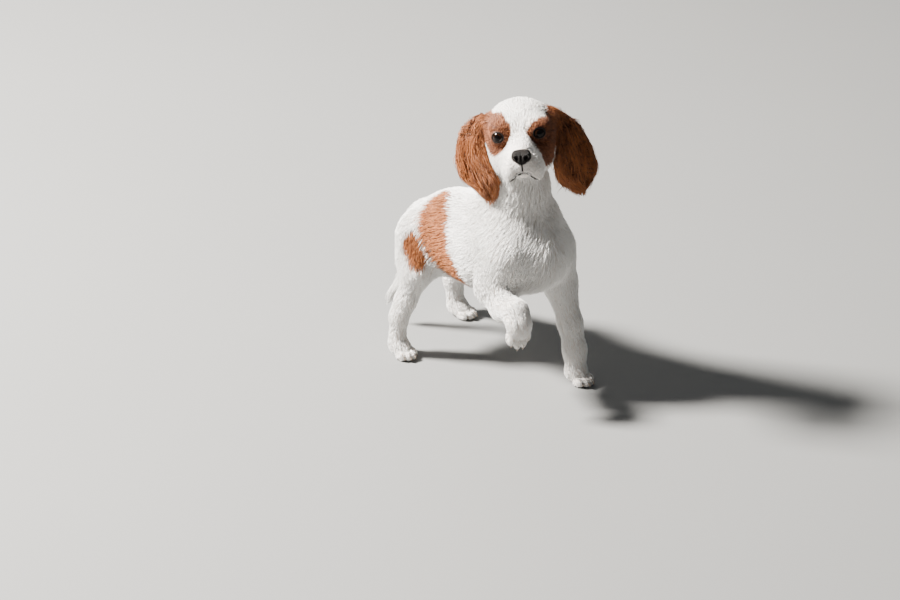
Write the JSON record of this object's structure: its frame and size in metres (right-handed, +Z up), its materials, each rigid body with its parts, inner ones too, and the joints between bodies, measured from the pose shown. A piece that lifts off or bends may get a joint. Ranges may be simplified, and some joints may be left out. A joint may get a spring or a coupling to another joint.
{
  "type": "cavalier king charles spaniel puppy, still life-size model",
  "caption": "Life-size still model of a spaniel puppy with long hanging ears, standing with one forepaw lifted and its head turned, chestnut patches on a white coat",
  "frame": {"origin": "on the floor under the middle of the model's box", "axes": "+X from tail to chest along the body, +Y to the dog's own left, +Z up"},
  "size_m": [0.252, 0.1353, 0.2974],
  "materials": {
    "coat_white": "soft dense hair, white",
    "coat_chestnut": "silky hair, chestnut",
    "eye_brown": "wet gloss, very dark brown",
    "nose_leather": "finely pebbled, moist, dark brown"
  },
  "bodies": {
    "root": {"torso": "coat_white", "neck": "coat_white", "head": "coat_white", "nose": "nose_leather", "tail": "coat_white", "eye_left": "eye_brown", "eye_right": "eye_brown", "ear_left": "coat_chestnut", "ear_right": "coat_chestnut", "fore_leg_left": "coat_white", "fore_leg_right": "coat_white", "hind_leg_left": "coat_white", "hind_leg_right": "coat_white"}
  },
  "joints": []
}
